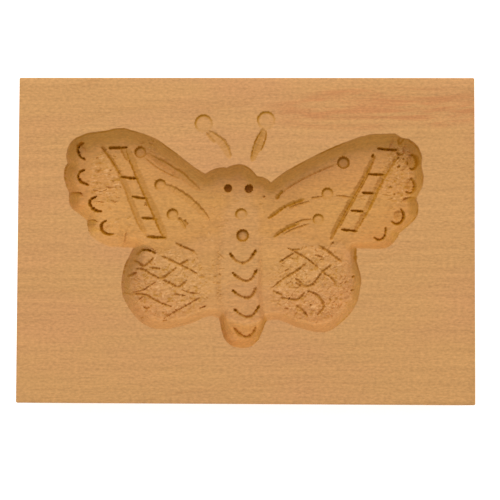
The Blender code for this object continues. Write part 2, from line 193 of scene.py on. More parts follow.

# A kind of cut. lean moves its deepest line across it, from -1 at the left of the line's direction to 1 at
# its right. The tones are how much painted shade darkens the whole cut and its deepest line, partly the end
# grain's darker tone, beads is how unevenly the tool went forward, and a high bluntness keeps the cut's
# width nearly to its ends.
Cut = namedtuple("Cut", "width depth lean floor_tone line_tone beads bluntness")
DEEPEST = 0.8                # where a lean of 1 puts the line, as a share of the cut's half width
CUTS = [
    # crescents along the left wing's edge
    (Cut(1.0, 1.0, 0.0, 0.55, 1.0, 0.5, 6), [
        [(-49.4, 29.4), (-50.8, 28.9), (-51.6, 27.4), (-50.9, 25.6), (-49.3, 24.5)],
        [(-49.3, 21.5), (-50.9, 20.7), (-51.5, 19.2), (-50.4, 17.6), (-48.2, 16.7)],
        [(-45.7, 13.3), (-47.1, 12.6), (-47.9, 11.5), (-47.5, 10.3), (-46.6, 9.3), (-45.4, 8.7),
         (-44.0, 8.6)],
        [(-42.4, 5.8), (-43.6, 4.9), (-43.9, 3.5), (-43.0, 2.1), (-41.6, 1.5), (-40.0, 1.5)],
    ]),
    # crescents along the right wing's edge
    (Cut(1.0, 0.8, 0.3, 0.3, 0.7, 0.5, 6), [
        [(50.4, 19.2), (51.3, 18.1), (51.6, 16.7), (51.2, 15.2), (50.2, 14.4), (48.8, 14.8)],
        [(42.8, 4.1), (42.8, 2.3), (42.2, 0.8), (41.0, 0.1), (39.9, 0.4), (39.2, 0.9)],
    ]),
    (Cut(1.1, 1.0, 0.2, 0.4, 0.85, 0.4, 6), [
        [(50.4, 26.4), (51.4, 25.8), (52.0, 24.7), (52.1, 23.3), (51.7, 22.2), (50.9, 21.7), (50.1, 22.2)],
        [(47.3, 9.8), (48.1, 8.5), (48.3, 7.2), (47.8, 6.0), (47.0, 5.2), (45.9, 5.0), (44.6, 5.8)],
    ]),
    # shallow scoops inside those crescents
    (Cut(2.8, 0.5, 0.0, 0.2, 0.24, 0.3, 3), [[(50.7, 26.4), (50.5, 22.2)]]),
    (Cut(2.6, 0.5, 0.0, 0.12, 0.15, 0.3, 3), [[(50.3, 18.8), (50.0, 15.4)], [(46.8, 9.0), (46.4, 6.0)]]),
    # ledges where one lobe's scoop begins below the next
    (Cut(1.9, 0.9, -0.85, 0.15, 0.5, 0.1, 3), [
        [(-52.8, 13.3), (-51.6, 13.6), (-50.2, 13.4)], [(48.2, 12.1), (50.0, 12.4), (51.4, 12.1)],
    ]),
    (Cut(1.3, 0.7, -0.85, 0.15, 0.45, 0.2, 3), [[(-47.6, 5.0), (-46.6, 5.3), (-45.2, 5.2)]]),
    # the ladders' rungs
    (Cut(0.95, 1.0, 0.0, 0.6, 1.0, 0.35, 6), [
        [(-42.2, 28.2), (-39.0, 28.3), (-36.3, 28.4)], [(-38.6, 19.3), (-35.6, 18.9), (-33.0, 18.8)],
        [(40.2, 28.2), (43.0, 27.9), (46.3, 27.8)], [(37.3, 20.3), (40.0, 20.1), (42.6, 20.2)],
        [(35.6, 14.6), (39.2, 14.4)], [(32.2, 9.1), (36.0, 8.8)], [(29.2, 3.3), (31.8, 3.0), (34.2, 2.8)],
    ]),
    (Cut(0.95, 0.9, 0.0, 0.42, 0.74, 0.35, 6), [
        [(-35.0, 13.3), (-32.4, 12.8), (-30.0, 12.8)], [(-31.9, 6.7), (-29.5, 6.5), (-27.0, 6.4)],
        [(-30.2, 0.9), (-27.0, 0.7), (-24.3, 0.7)],
    ]),
    # the ladders' rails, cut from the wing's tip to its root
    (Cut(1.4, 0.7, 0.3, 0.15, 0.65, 0.3, 6), [[(-44.4, 28.7), (-42.4, 26.2), (-40.2, 23.0), (-38.2, 19.6)]]),
    (Cut(2.0, 0.65, 0.7, 0.12, 0.35, 0.1, 6), [
        [(-39.0, 20.8), (-36.9, 16.8), (-35.0, 11.6), (-32.8, 6.0), (-30.6, 2.0)],
        [(-38.0, 28.2), (-36.9, 26.4), (-35.8, 24.4)],
    ]),
    (Cut(2.5, 0.9, 0.85, 0.15, 0.65, 0.15, 6), [
        [(-36.4, 27.9), (-34.8, 24.2), (-32.2, 18.0), (-29.6, 12.4), (-27.2, 7.0), (-25.4, 3.0),
         (-24.3, 0.4)],
    ]),
    (Cut(1.7, 0.9, -0.55, 0.2, 0.6, 0.3, 6), [
        [(39.5, 25.9), (37.4, 22.0), (35.0, 17.4), (32.2, 12.4), (29.6, 7.6), (27.4, 3.4), (26.0, 0.2)],
    ]),
    (Cut(1.9, 0.8, -0.75, 0.14, 0.6, 0.35, 6), [
        [(46.2, 25.3), (44.2, 23.0), (41.6, 19.0), (39.6, 15.2), (37.6, 10.8), (35.4, 6.6), (33.4, 3.0)],
    ]),
    # thin lines beside the right ladder's rails
    (Cut(0.6, 0.4, 0.0, 0.2, 0.45, 0.5, 6), [
        [(43.9, 21.2), (42.2, 18.4), (40.6, 15.0), (38.6, 10.8), (36.4, 6.6)],
        [(38.6, 22.6), (36.2, 17.6), (33.4, 12.6), (30.8, 7.8), (28.6, 3.6)],
    ]),
    # veins of the left wing
    (Cut(2.5, 0.8, -0.8, 0.1, 0.5, 0.2, 3), [
        [(-30.6, 26.3), (-27.0, 24.2), (-23.0, 21.8), (-19.6, 19.6), (-17.0, 17.4), (-14.2, 15.2)],
        [(-24.8, 16.4), (-22.2, 15.4), (-19.0, 13.4), (-16.5, 11.4), (-14.0, 9.1), (-11.4, 6.2)],
    ]),
    (Cut(0.7, 0.35, 0.0, 0.1, 0.25, 0.3, 6), [[(-31.0, 25.2), (-27.2, 22.2), (-23.2, 20.0), (-20.0, 18.8)]]),
    (Cut(1.4, 0.6, -0.5, 0.2, 0.45, 0.5, 6), [
        [(-20.8, 6.6), (-19.4, 5.2), (-18.4, 3.4)], [(-19.0, 6.0), (-17.8, 4.6)],
    ]),
    # veins of the right wing
    (Cut(0.8, 0.4, -0.6, 0.08, 0.26, 0.35, 4), [
        [(28.4, 23.7), (25.0, 22.4), (20.0, 20.2), (16.0, 18.1), (12.2, 15.6), (10.4, 14.0)],
    ]),
    (Cut(0.9, 0.5, -0.6, 0.12, 0.35, 0.35, 4), [
        [(20.0, 12.8), (23.4, 13.2)], [(13.4, 9.7), (16.4, 10.9), (19.6, 11.7)],
        [(27.6, 13.6), (30.6, 13.2), (33.4, 12.6)],
        [(11.4, 1.5), (14.6, 3.2), (17.4, 4.2), (19.4, 4.9)], [(14.8, 4.9), (17.4, 5.9), (20.2, 6.3)],
    ]),
    (Cut(1.4, 0.7, -0.4, 0.3, 0.65, 0.4, 4), [
        [(11.4, 15.2), (10.2, 14.0), (9.3, 12.6)],
        [(18.0, 12.6), (14.5, 11.4), (11.5, 10.0), (9.0, 8.2), (6.8, 6.6)],
        [(16.4, 5.2), (13.6, 4.2), (11.2, 2.8), (8.6, 0.9)],
    ]),
    # rings of the abdomen
    (Cut(1.1, 0.7, 0.0, 0.2, 0.42, 0.5, 6), [
        [(-4.7, -4.2), (-2.9, -6.3), (-0.6, -7.0), (1.3, -5.9), (3.1, -3.2)],
        [(-4.0, -10.0), (-2.3, -11.5), (0.0, -12.5), (1.9, -11.8), (3.5, -9.1)],
        [(-3.9, -15.4), (-2.0, -16.9), (0.4, -17.7), (2.1, -17.0), (3.4, -14.4)],
        [(-3.3, -21.3), (-1.4, -22.8), (0.8, -23.6), (2.6, -22.7), (4.4, -20.0)],
        [(-3.5, -26.9), (-1.9, -28.6), (0.3, -29.6), (2.2, -28.8), (3.3, -26.6)],
    ]),
    # the rings' deeper, darker ends
    (Cut(1.0, 0.9, 0.0, 0.4, 0.85, 0.6, 6), [
        [(-4.9, -4.0), (-3.8, -5.2)], [(2.0, -4.8), (3.2, -3.0)],
        [(-4.1, -9.9), (-2.9, -11.1)], [(2.6, -10.6), (3.5, -9.0)],
        [(-4.0, -15.3), (-2.8, -16.4)], [(-3.4, -21.2), (-2.2, -22.3)], [(3.1, -21.9), (4.4, -20.0)],
    ]),
    # lattice of the left hind wing
    (Cut(0.9, 0.6, 0.0, 0.22, 0.42, 0.6, 6), [
        [(-21.3, -1.1), (-18.6, -2.3), (-15.5, -3.6)],
        [(-25.7, -5.0), (-23.4, -6.0), (-20.2, -7.5), (-17.0, -9.1), (-14.7, -10.4)],
        [(-33.6, -8.9), (-31.2, -9.2), (-28.4, -10.8), (-25.8, -11.8), (-23.2, -10.2), (-21.1, -8.5)],
        [(-25.3, -12.3), (-22.6, -13.5), (-20.4, -14.4), (-17.9, -12.5)],
        [(-34.4, -16.6), (-30.6, -16.9), (-28.2, -18.2), (-25.7, -19.4), (-22.4, -20.6)],
        [(-35.8, -11.4), (-33.4, -10.0)], [(-33.0, -4.8), (-31.8, -3.5)],
        [(-33.9, -6.4), (-32.6, -7.2), (-31.2, -8.1), (-29.6, -7.0), (-28.1, -5.6)],
        [(-29.4, -8.6), (-26.1, -8.9)], [(-20.6, -7.8), (-19.0, -7.0), (-17.5, -6.2)],
        [(-31.0, -20.6), (-30.2, -21.2), (-29.2, -20.7)],
    ]),
    # fainter lines of the same lattice, and small nicks in both pairs of wings
    (Cut(0.7, 0.5, 0.0, 0.12, 0.3, 0.7, 6), [
        [(-24.2, -23.8), (-22.0, -22.4), (-19.4, -20.9), (-16.4, -19.2), (-14.0, -17.8)],
        [(-34.3, -16.2), (-31.2, -15.4), (-29.4, -14.2), (-27.4, -13.0)], [(-21.8, -16.7), (-18.2, -17.1)],
        [(-19.6, -15.3), (-17.0, -16.2), (-14.2, -16.5)],
        [(-32.6, -18.5), (-30.8, -17.1)], [(-36.6, -16.2), (-34.2, -17.0)],
        [(-31.5, -24.0), (-30.6, -23.6)], [(-25.2, -24.8), (-23.8, -24.6)], [(-14.0, -21.0), (-11.8, -20.2)],
        [(12.0, -9.6), (13.2, -8.8)], [(21.2, -4.5), (23.6, -5.2)], [(12.0, -20.9), (13.2, -21.0)],
        [(20.0, -19.4), (19.9, -20.2)], [(5.3, 13.2), (5.9, 13.5)], [(-30.9, 11.4), (-30.3, 10.4)],
        [(-31.2, 10.4), (-30.2, 11.4)], [(26.0, -1.2), (27.0, -0.6)],
    ]),
    # nicks by the right hind wing's outer edge
    (Cut(0.8, 0.7, 0.0, 0.3, 0.55, 0.5, 6), [
        [(32.4, -11.4), (33.2, -10.9)], [(32.2, -15.4), (33.0, -15.0)],
        [(33.2, -2.6), (33.2, -4.4), (33.3, -6.6)],
    ]),
    # the left lattice's dark upper end, and dark spots there and at the top of the right ladder's inner rail
    (Cut(0.9, 1.0, 0.0, 0.4, 0.8, 0.5, 6), [[(-31.8, -3.2), (-29.9, -3.1), (-27.5, -4.2)]]),
    (Cut(1.0, 1.0, 0.0, 0.8, 1.0, 0.2, 2), [[(-30.0, -3.1), (-29.3, -3.3)], [(39.1, 26.4), (38.6, 25.4)]]),
    # lattice of the right hind wing
    (Cut(0.95, 0.6, 0.0, 0.22, 0.42, 0.6, 6), [
        [(22.4, -1.6), (25.0, -3.2), (27.2, -4.9), (29.4, -6.5)],
        [(13.0, -2.5), (14.8, -3.0), (16.7, -2.7)], [(14.8, -3.4), (18.1, -5.2), (19.9, -6.4), (22.0, -8.2)],
        [(10.4, -6.8), (12.6, -5.3), (14.8, -4.0)], [(23.2, -9.2), (25.0, -10.9)],
        [(8.3, -14.5), (10.6, -12.6), (12.8, -11.1), (15.6, -9.4), (18.6, -7.1)],
        [(15.1, -11.6), (16.7, -12.8), (18.2, -14.1), (20.7, -13.4), (22.2, -11.4), (23.6, -9.7),
         (25.2, -8.4), (26.6, -7.2)],
        [(15.4, -13.0), (17.0, -14.2)], [(25.0, -10.6), (26.6, -11.9), (27.9, -14.1)],
        [(8.4, -15.6), (9.8, -16.1), (11.3, -16.8)],
        [(10.8, -17.7), (13.0, -17.9), (15.8, -18.2), (17.2, -17.2), (18.1, -16.0)],
        [(18.8, -15.5), (21.4, -16.4), (23.2, -18.2), (24.0, -20.2), (23.2, -21.6), (21.9, -22.9)],
        [(15.5, -20.0), (17.4, -21.3), (19.1, -23.4)],
    ]),
    # broken grain by the right wing's tip
    (Cut(0.7, 0.6, 0.0, 0.3, 0.55, 0.6, 6), [
        [(45.0, 24.0), (46.2, 24.8), (47.0, 25.6)], [(46.2, 27.0), (47.4, 26.2), (48.4, 26.8)],
        [(48.0, 25.2), (48.6, 24.6)], [(47.2, 22.9), (46.4, 22.2)], [(49.4, 24.4), (49.6, 23.2)],
        [(46.2, 30.6), (46.8, 29.4), (47.9, 30.4)],
        [(45.2, 14.2), (45.8, 13.8)], [(44.0, 16.4), (44.8, 16.0)],
    ]),
]
# The same for the feelers' stems, in the flat face
STEMS = [
    (Cut(3.0, 0.6, -0.7, 0.18, 0.5, 0.2, 2), [
        [(-11.4, 33.2), (-9.2, 31.6), (-7.4, 29.9), (-6.0, 27.8), (-5.1, 25.2)],
    ]),
    (Cut(1.7, 0.5, 0.0, 0.2, 0.35, 0.5, 4), [[(-12.0, 32.9), (-10.8, 31.4), (-9.3, 30.0)]]),
    (Cut(2.9, 0.7, 0.1, 0.26, 0.36, 0.3, 2), [[(5.4, 34.2), (4.7, 31.4), (3.5, 28.3), (1.9, 24.4)]]),
    (Cut(0.7, 0.5, 0.0, 0.25, 0.55, 0.4, 4), [
        [(4.9, 33.8), (3.6, 31.6), (2.6, 29.4), (1.9, 26.6), (1.7, 24.8)],
        [(6.1, 33.6), (6.2, 32.0), (5.6, 29.8), (4.6, 27.4)],
    ]),
]

# Torn grain, where it shows: (how many tears, centre x, y, half width, half height, mean depth, spread of
# their slant)
TEARS = [
    # left fore wing, then the hind wings
    (80, -43.0, 18.5, 5.5, 9.5, 0.24, 0.10), (30, -36.0, 4.0, 8.0, 4.5, 0.12, 0.15),
    (24, -42.0, 2.0, 6.5, 4.0, 0.1, 0.1),
    (260, -23.5, -13.0, 13.5, 11.5, 0.15, 0.9), (320, 20.5, -13.5, 14.0, 12.0, 0.17, 1.0),
    # right fore wing
    (70, 45.0, 16.0, 6.0, 11.0, 0.14, 0.3), (60, 48.0, 26.5, 2.8, 5.0, 0.2, 0.8),
    (40, 34.0, 8.0, 4.5, 7.0, 0.14, 0.3),
    # beside the abdomen, the wing roots, and the top of the left ladder
    (50, -8.6, -12.0, 1.8, 11.0, 0.16, 0.3), (60, -5.0, 6.0, 16.0, 9.0, 0.10, 0.2),
    (30, -29.0, 29.0, 3.0, 3.5, 0.25, 0.3),
]
# Stippled floor: (centre x, y, half width, half height, height of the bumps, their length, their width)
STIPPLED = [
    (-23.0, -13.5, 15.0, 12.5, 0.11, 0.95, 0.75), (20.5, -13.5, 15.5, 13.5, 0.14, 0.85, 0.75),
    (-43.0, 18.5, 6.0, 10.5, 0.08, 2.4, 0.55), (46.5, 20.0, 5.5, 11.0, 0.10, 1.1, 0.7),
]


def smooth_run(points, step):
    """Points about one step apart on a Catmull-Rom curve through the given points, without the last."""
    knots = np.array(points, float)
    knots = np.vstack([2 * knots[0] - knots[1], knots, 2 * knots[-1] - knots[-2]])
    pieces = []
    for before, start, end, after in zip(knots, knots[1:], knots[2:], knots[3:]):
        count = max(1, round(np.linalg.norm(end - start) / step))
        t = np.linspace(0, 1, count, endpoint=False)[:, None]
        pieces.append((before * (-t + 2 * t**2 - t**3) + start * (2 - 5 * t**2 + 3 * t**3)
                       + end * (t + 4 * t**2 - 3 * t**3) + after * (t**3 - t**2)) / 2)
    return np.vstack(pieces)


def smooth_line(points, step):
    """The same curve with its last point."""
    return np.vstack([smooth_run(points, step), np.array(points[-1:], float)])


def smooth_step(values):
    """From 0 at 0 to 1 at 1, level at both ends."""
    values = np.clip(values, 0, 1)
    return values * values * (3 - 2 * values)


def noise(x, y, size_x, size_y, seed):
    """Smooth noise from -1 to 1 with spots of about size_x by size_y."""
    table = np.random.default_rng(seed).uniform(-1, 1, (128, 128))
    u, v = np.asarray(x) / size_x + 300, np.asarray(y) / size_y + 300
    i, j = np.floor(u).astype(int), np.floor(v).astype(int)
    s, t = smooth_step(u - i), smooth_step(v - j)
    i, j, k, m = i % 128, j % 128, (i + 1) % 128, (j + 1) % 128
    return ((table[i, j] * (1 - s) + table[k, j] * s) * (1 - t)
            + (table[i, m] * (1 - s) + table[k, m] * s) * t)


def on_floor(points):
    """Where points seen on the face's level lie on the floors below it, which are further from the eye."""
    return SIGHT + (np.array(points) - SIGHT) * (1 + UPPER_DEPTH / (SIGHT_HEIGHT - THICK))


def floor_marks():
    """The cuts and round marks at their real places: those on the floors, then those in the flat face."""
    cuts = [(kind, on_floor(line)) for kind, lines in CUTS for line in lines]
    cuts += [(kind, np.array(line)) for kind, lines in STEMS for line in lines]
    rounds = [(*on_floor((x, y)), *rest) for x, y, *rest in ROUNDS] + FEELER_ENDS
    eyes = [(*on_floor((x, y)), radius) for x, y, radius in EYES]
    return cuts, rounds, eyes


ALL_CUTS, ALL_ROUNDS, ALL_EYES = floor_marks()


def to_right(along):
    """Unit vectors at a right angle to the given directions, on their right."""
    return np.stack([along[:, 1], -along[:, 0]], 1) / np.linalg.norm(along, axis=1, keepdims=True)


def inward(loop):
    """Unit vectors at each point of a clockwise loop, towards its inside."""
    return to_right(np.roll(loop, -1, 0) - np.roll(loop, 1, 0))


def outline(runs, seed):
    """A cavity's closed outline with small tool wobble, and the wall's run at each of its points."""
    stretches = [smooth_run(points, RIM_SPACING) for _, points in runs]
    loop = np.vstack(stretches)
    widths = np.concatenate([np.full(len(part), width) for (width, _), part in zip(runs, stretches)])
    wobble = 0.07 * noise(*loop.T, 1.1, 1.1, seed) + 0.06 * noise(*loop.T, 3.0, 3.0, seed + 50)
    widths = sum(np.roll(widths, k) for k in range(-RIM_EASING, RIM_EASING + 1)) / (2 * RIM_EASING + 1)
    widths = widths * (1 + 0.12 * noise(*loop.T, 2.6, 2.6, seed + 60))
    return loop + wobble[:, None] * inward(loop), widths


def nearest_on(points, starts, ends):
    """Distance from each point to a chain of segments, the nearest segment's number, how far along it the
    nearest place is, and on which side the point lies."""
    distance = np.full(len(points), np.inf)
    which = np.zeros(len(points), int)
    share = np.zeros(len(points))
    side = np.zeros(len(points))
    for number, (start, end) in enumerate(zip(starts, ends)):
        along = end - start
        length = along @ along + 1e-12
        offset = points - start
        t = np.clip(offset @ along / length, 0, 1)
        gap = offset - t[:, None] * along
        here = np.hypot(gap[:, 0], gap[:, 1])
        closer = here < distance
        distance[closer] = here[closer]
        which[closer] = number
        share[closer] = t[closer]
        side[closer] = np.sign(along[1] * offset[closer, 0] - along[0] * offset[closer, 1])
    return distance, which, share, side


def inside(points, loop):
    """True for the points within a closed loop."""
    within = np.zeros(len(points), bool)
    for start, end in zip(loop, np.roll(loop, -1, 0)):
        crosses = (start[1] > points[:, 1]) != (end[1] > points[:, 1])
        if not crosses.any():
            continue
        x = start[0] + (points[:, 1] - start[1]) * (end[0] - start[0]) / (end[1] - start[1] + 1e-15)
        within ^= crosses & (points[:, 0] < x)
    return within


def floor_waves(points):
    """The unevenness that a gouge leaves on a floor, and the left fore wing's lifted corner."""
    x, y = points.T
    broad = 0.20 * noise(x, y, 14, 10, 30) + 0.10 * noise(x, y, 5, 4, 31)
    broad -= CORNER_LIFT * smooth_step(1 - np.linalg.norm(points - LIFTED, axis=1) / LIFT_REACH)
    scallops = 0.10 * np.abs(noise(x + 0.3 * y, y, 3.4, 1.7, 32)) + 0.03 * noise(x, y, 1.2, 0.5, 33)
    return broad - scallops


# Each cavity: its outline and wall runs, depth, and how strongly its wood is darkened and yellowed: painted
# shade of the hollow, partly the cut wood's own tone
CAVITIES = [(*outline(runs, seed), depth, tone) for seed, (runs, depth, tone) in enumerate([
    (UPPER, UPPER_DEPTH, 0.95),
    (LEFT_HIND, HIND_DEPTH, 0.3),
    (RIGHT_HIND, HIND_DEPTH, 0.4),
    (TAIL, TAIL_DEPTH, 1.3),
])]
CHANNEL_LOOP, CHANNEL_WIDTHS = outline(CHANNEL, 9)


def within_loop(points, loop):
    """Which points lie inside a loop, and for those the distance to it, its nearest point's number, and how
    much that one lies towards the butterfly's head."""
    near = np.where(np.all((points > loop.min(0)) & (points < loop.max(0)), axis=1))[0]
    near = near[inside(points[near], loop)]
    distance, which, _, _ = nearest_on(points[near], loop, np.roll(loop, -1, 0))
    headward = (loop[which, 1] - points[near, 1]) / (distance + 1e-9)
    return near, distance, which, headward


def rim_shade_line(points):
    """How much a painted shade line just inside the hollow's rim darkens each point, on the walls turned
    away from the lamp.
    """
    distance = np.full(len(points), np.inf)
    turned = np.zeros(len(points))
    for loop, *_ in CAVITIES:
        near, gap, _, headward = within_loop(points, loop)
        inner = np.isinf(distance[near]) | (gap > distance[near])
        distance[near[inner]] = gap[inner]
        turned[near[inner]] = smooth_step((headward[inner] + 0.7) / 0.7)
    return np.clip(1 - np.abs(distance / RIM_LINE - 1), 0, 1) * turned


def hollow(points):
    """Depth of the hollow's walls and floors without the marks, how much painted shade darkens its wood
    (partly the cut wood's own tone), and how much each point is on a wall, apart from the walls that slope
    up towards the butterfly's tail, which face the lamp: the other walls get a painted shade tint."""
    depth, tone, wall = np.zeros((3, len(points)))
    for loop, widths, floor, dark in CAVITIES:
        near, distance, which, headward = within_loop(points, loop)
        climb = np.clip(distance / widths[which], 0, 1)
        level = (floor + floor_waves(points[near])) * (1 - (1 - climb) ** WALL_CURVE)
        before = depth[near]
        blend = np.clip(1 - np.abs(before - level) / BLEND, 0, 1) ** 2
        blend *= np.clip(np.minimum(before, level) / 3, 0, 1)
        depth[near] = np.maximum(before, level) + blend * BLEND / 4
        share = smooth_step(0.5 + (level - before) / BLEND)
        share = np.where(before > 0, share, 1)
        tone[near] += (dark - tone[near]) * share
        # walls whose rim lies towards the head face away from the lamp and get the painted shade tint
        turned = smooth_step((headward + 0.8) / 0.7)
        wall[near] += (smooth_step(1.6 * (1 - climb)) * turned - wall[near]) * share
    # the channel is deepest under the abdomen, shallower under the head, and runs out at the tail
    near, distance, which, _ = within_loop(points, CHANNEL_LOOP)
    y = points[near, 1]
    fade = (0.35 + 0.65 * smooth_step((4 - y) / 12)) * smooth_step((y + 34) / 7)
    sunk = smooth_step(distance / CHANNEL_WIDTHS[which]) * np.clip(depth[near] / 3 - 0.5, 0, 1)
    depth[near] += CHANNEL_DEPTH * fade * sunk
    # painted shade: in the abdomen's channel the hollow's painted shade is weaker, except near the tail's
    # end
    tone[near] -= 0.6 * smooth_step((y + 30) / 8) * sunk * tone[near]
    below = np.clip(depth / 0.5, 0, 1)
    return depth, tone * below, wall * below


def cut_profile(points, line, kind):
    """Depth of one cut at each point near it, and its painted shade, darkest along its deepest line and
    partly the end grain's darker tone. It is pointed at its ends.
    """
    path = smooth_line(line, 0.4)
    distance, which, share, side = nearest_on(points, path[:-1], path[1:])
    length = np.concatenate([[0], np.cumsum(np.linalg.norm(np.diff(path, axis=0), axis=1))])
    run = length[which] + share * (length[which + 1] - length[which])
    ends = np.clip(1 - np.abs(2 * run / length[-1] - 1) ** kind.bluntness, 0, 1) ** 0.5
    uneven = 1 + (0.06 + 0.6 * kind.beads) * noise(*points.T, 0.8, 0.6, 7)
    uneven += 0.12 * noise(*points.T, 2.5, 2.5, 8)
    steps = 1 + kind.beads * noise(run, run, 0.55, 0.55, round(50 * abs(path[0, 0])))
    half = 0.5 * kind.width * (0.35 + 0.65 * ends) * uneven * (0.6 + 0.4 * steps)
    across = np.clip(side * distance / half, -1, 1)
    deepest = DEEPEST * kind.lean
    off_line = across - deepest
    rise = np.where(off_line > 0, off_line / (1 - deepest), -off_line / (1 + deepest))
    height = kind.depth * (0.3 + 0.7 * ends) * steps * (1 - np.clip(rise, 0, 1) ** 1.2)
    height = np.where(distance >= half, 0, np.maximum(height, 0))
    line_share = np.clip(1 - np.abs(off_line) * half / 0.42, 0, 1) * ends * np.clip(steps, 0.3, 1)
    tone = kind.floor_tone + (kind.line_tone - kind.floor_tone) * line_share
    return height, tone * np.clip(4 * height / kind.depth, 0, 1)


def round_profile(points, x, y, radius, depth, climb):
    """Depth and painted shade of a round mark: steep at its upper side, its floor climbing towards the lower
    side, with a painted shade ring darkest on its upper left side, away from the lamp.
    """
    dx, dy = points[:, 0] - x, points[:, 1] - y
    distance = np.hypot(dx, dy)
    upper = np.clip(0.5 + (dy - 0.45 * dx) / (2 * radius), 0, 1)
    height = depth * np.clip((radius - distance) / 0.4, 0, 1) * (1 - climb * (1 - upper))
    # painted shade: a dark ring inside the rim, darkest on the upper left side, which faces away from the
    # lamp
    rim = np.clip(1.3 - np.abs(radius - 0.35 - distance) / 0.45, 0, 1)
    shaded_side = np.maximum(upper**1.2, 0.8 * (1 - climb))
    tone = np.where(height > 0, 0.08, 0) + (0.4 + 0.4 * depth) * rim * shaded_side
    return height, np.clip(tone, 0, 1) * (distance < radius)


def marks(points):
    """Depth of the cuts and round marks below the hollow's floor, and how much painted shade darkens them,
    partly the end grain's darker tone.
    """
    depth = np.zeros(len(points))
    tone = np.zeros(len(points))

    def keep(near, extra, strength):
        depth[near] = np.maximum(depth[near], extra)
        tone[near] = np.maximum(tone[near], strength)

    for kind, line in ALL_CUTS:
        reach = kind.width + 0.5
        near = np.where(np.all((points > line.min(0) - reach) & (points < line.max(0) + reach), axis=1))[0]
        keep(near, *cut_profile(points[near], line, kind))
    for x, y, radius, round_depth, climb in ALL_ROUNDS:
        near = np.where(np.hypot(points[:, 0] - x, points[:, 1] - y) < radius + 0.5)[0]
        keep(near, *round_profile(points[near], x, y, radius, round_depth, climb))
    # the eyes are painted fully dark: painted shade of the deep holes over their darker end grain
    for x, y, radius in ALL_EYES:
        near = np.where(np.hypot(points[:, 0] - x, points[:, 1] - y) < radius)[0]
        distance = np.hypot(points[near, 0] - x, points[near, 1] - y)
        extra = np.minimum(EYE_DEPTH * (1 - 0.35 * distance / radius), (radius - distance) * 9)
        keep(near, extra, np.ones(len(near)))
    return depth, tone


def tears():
    """Torn fibres as (x, y, half length, half width, slant, depth), some of them splinters that stand up."""
    rng = np.random.default_rng(TEAR_SEED)
    rows = []
    for count, x, y, half_x, half_y, mean, slant in TEARS:
        angle = rng.uniform(0, 2 * math.pi, count)
        spread = rng.uniform(0, 1, count) ** 0.6
        seen = np.stack([x + half_x * spread * np.cos(angle), y + half_y * spread * np.sin(angle)], 1)
        sign = np.where(rng.uniform(0, 1, count) < 0.35, -0.6, 1.0)
        half_length = rng.gamma(2.0, 0.22, count) + 0.15
        half_width = rng.uniform(0.1, 0.3, count)
        slants = rng.normal(0, slant, count)
        depth = sign * mean * rng.uniform(0.4, 1.9, count)
        rows.append(np.column_stack([on_floor(seen), half_length, half_width, slants, depth]))
    return np.vstack(rows)


TORN = tears()


def torn(points):
    """Depth of the torn fibres at each point, how rough the wood is there, and how much painted shade
    darkens the pit it is in.
    """
    depth, rough, pits = np.zeros((3, len(points)))
    order = np.argsort(points[:, 1])
    sorted_y = points[order, 1]
    for x, y, half_length, half_width, slant, tear in TORN:
        reach = 2 * half_width + abs(slant) * half_length
        first, last = np.searchsorted(sorted_y, [y - reach, y + reach])
        near = order[first:last]
        near = near[np.abs(points[near, 0] - x) < half_length]
        dx = points[near, 0] - x
        u = dx / half_length
        v = (points[near, 1] - y - slant * dx) / half_width
        dent = np.clip(1 - u**2, 0, 1) * np.exp(-v**2)
        depth[near] += tear * dent
        rough[near] = np.maximum(rough[near], dent * (tear > 0))
        pits[near] = np.maximum(pits[near], dent * min(max(4 * tear, 0), 1))
    for x, y, half_x, half_y, height, size_x, size_y in STIPPLED:
        centre = on_floor((x, y))
        span = np.hypot((points[:, 0] - centre[0]) / half_x, (points[:, 1] - centre[1]) / half_y)
        near = np.where(span < 1)[0]
        bumps = noise(*points[near].T, size_x, size_y, 71)
        bumps += 0.6 * noise(*points[near].T, size_x / 2, size_y / 2, 72)
        share = smooth_step((1 - span[near]) / 0.35)
        depth[near] += height * share * bumps
        rough[near] = np.maximum(rough[near], share * np.clip(1.3 * np.abs(bumps) - 0.1, 0, 1))
        pits[near] = np.maximum(pits[near], share * np.clip(3 * (bumps - 0.4), 0, 1))
    return depth, rough, pits


def block_outline(inset):
    """The block's outline from above, anticlockwise, moved in by a distance, always with as many points."""
    radius = max(CORNER - inset, SMALLEST_CORNER)
    centre_x, centre_y = HALF_X - inset - radius, HALF_Y - inset - radius
    points = []
    corners = [(centre_x, centre_y, 0), (-centre_x, centre_y, 90),
               (-centre_x, -centre_y, 180), (centre_x, -centre_y, 270)]
    for number, (x, y, turn) in enumerate(corners):
        for step in range(CORNER_POINTS):
            angle = math.radians(turn + 90 * step / (CORNER_POINTS - 1))
            points.append((x + radius * math.cos(angle), y + radius * math.sin(angle)))
        next_x, next_y, next_turn = corners[(number + 1) % 4]
        angle = math.radians(next_turn)
        start = np.array(points[-1])
        end = np.array((next_x + radius * math.cos(angle), next_y + radius * math.sin(angle)))
        side_points = SIDE_POINTS_X if number % 2 == 0 else SIDE_POINTS_Y
        points.extend(start + (end - start) * k / side_points for k in range(1, side_points))
    return np.array(points)


def hex_grid(reach_x, reach_y, spacing):
    """Points in even rows, each row shifted by half a step."""
    row = spacing * math.sqrt(3) / 2
    ys = np.arange(-reach_y, reach_y, row)
    xs = np.arange(-reach_x, reach_x - spacing / 2, spacing)
    grid_x, grid_y = np.meshgrid(xs, ys)
    grid_x += np.where(np.arange(len(ys)) % 2, spacing / 2, 0)[:, None]
    return np.stack([grid_x.ravel(), grid_y.ravel()], 1)


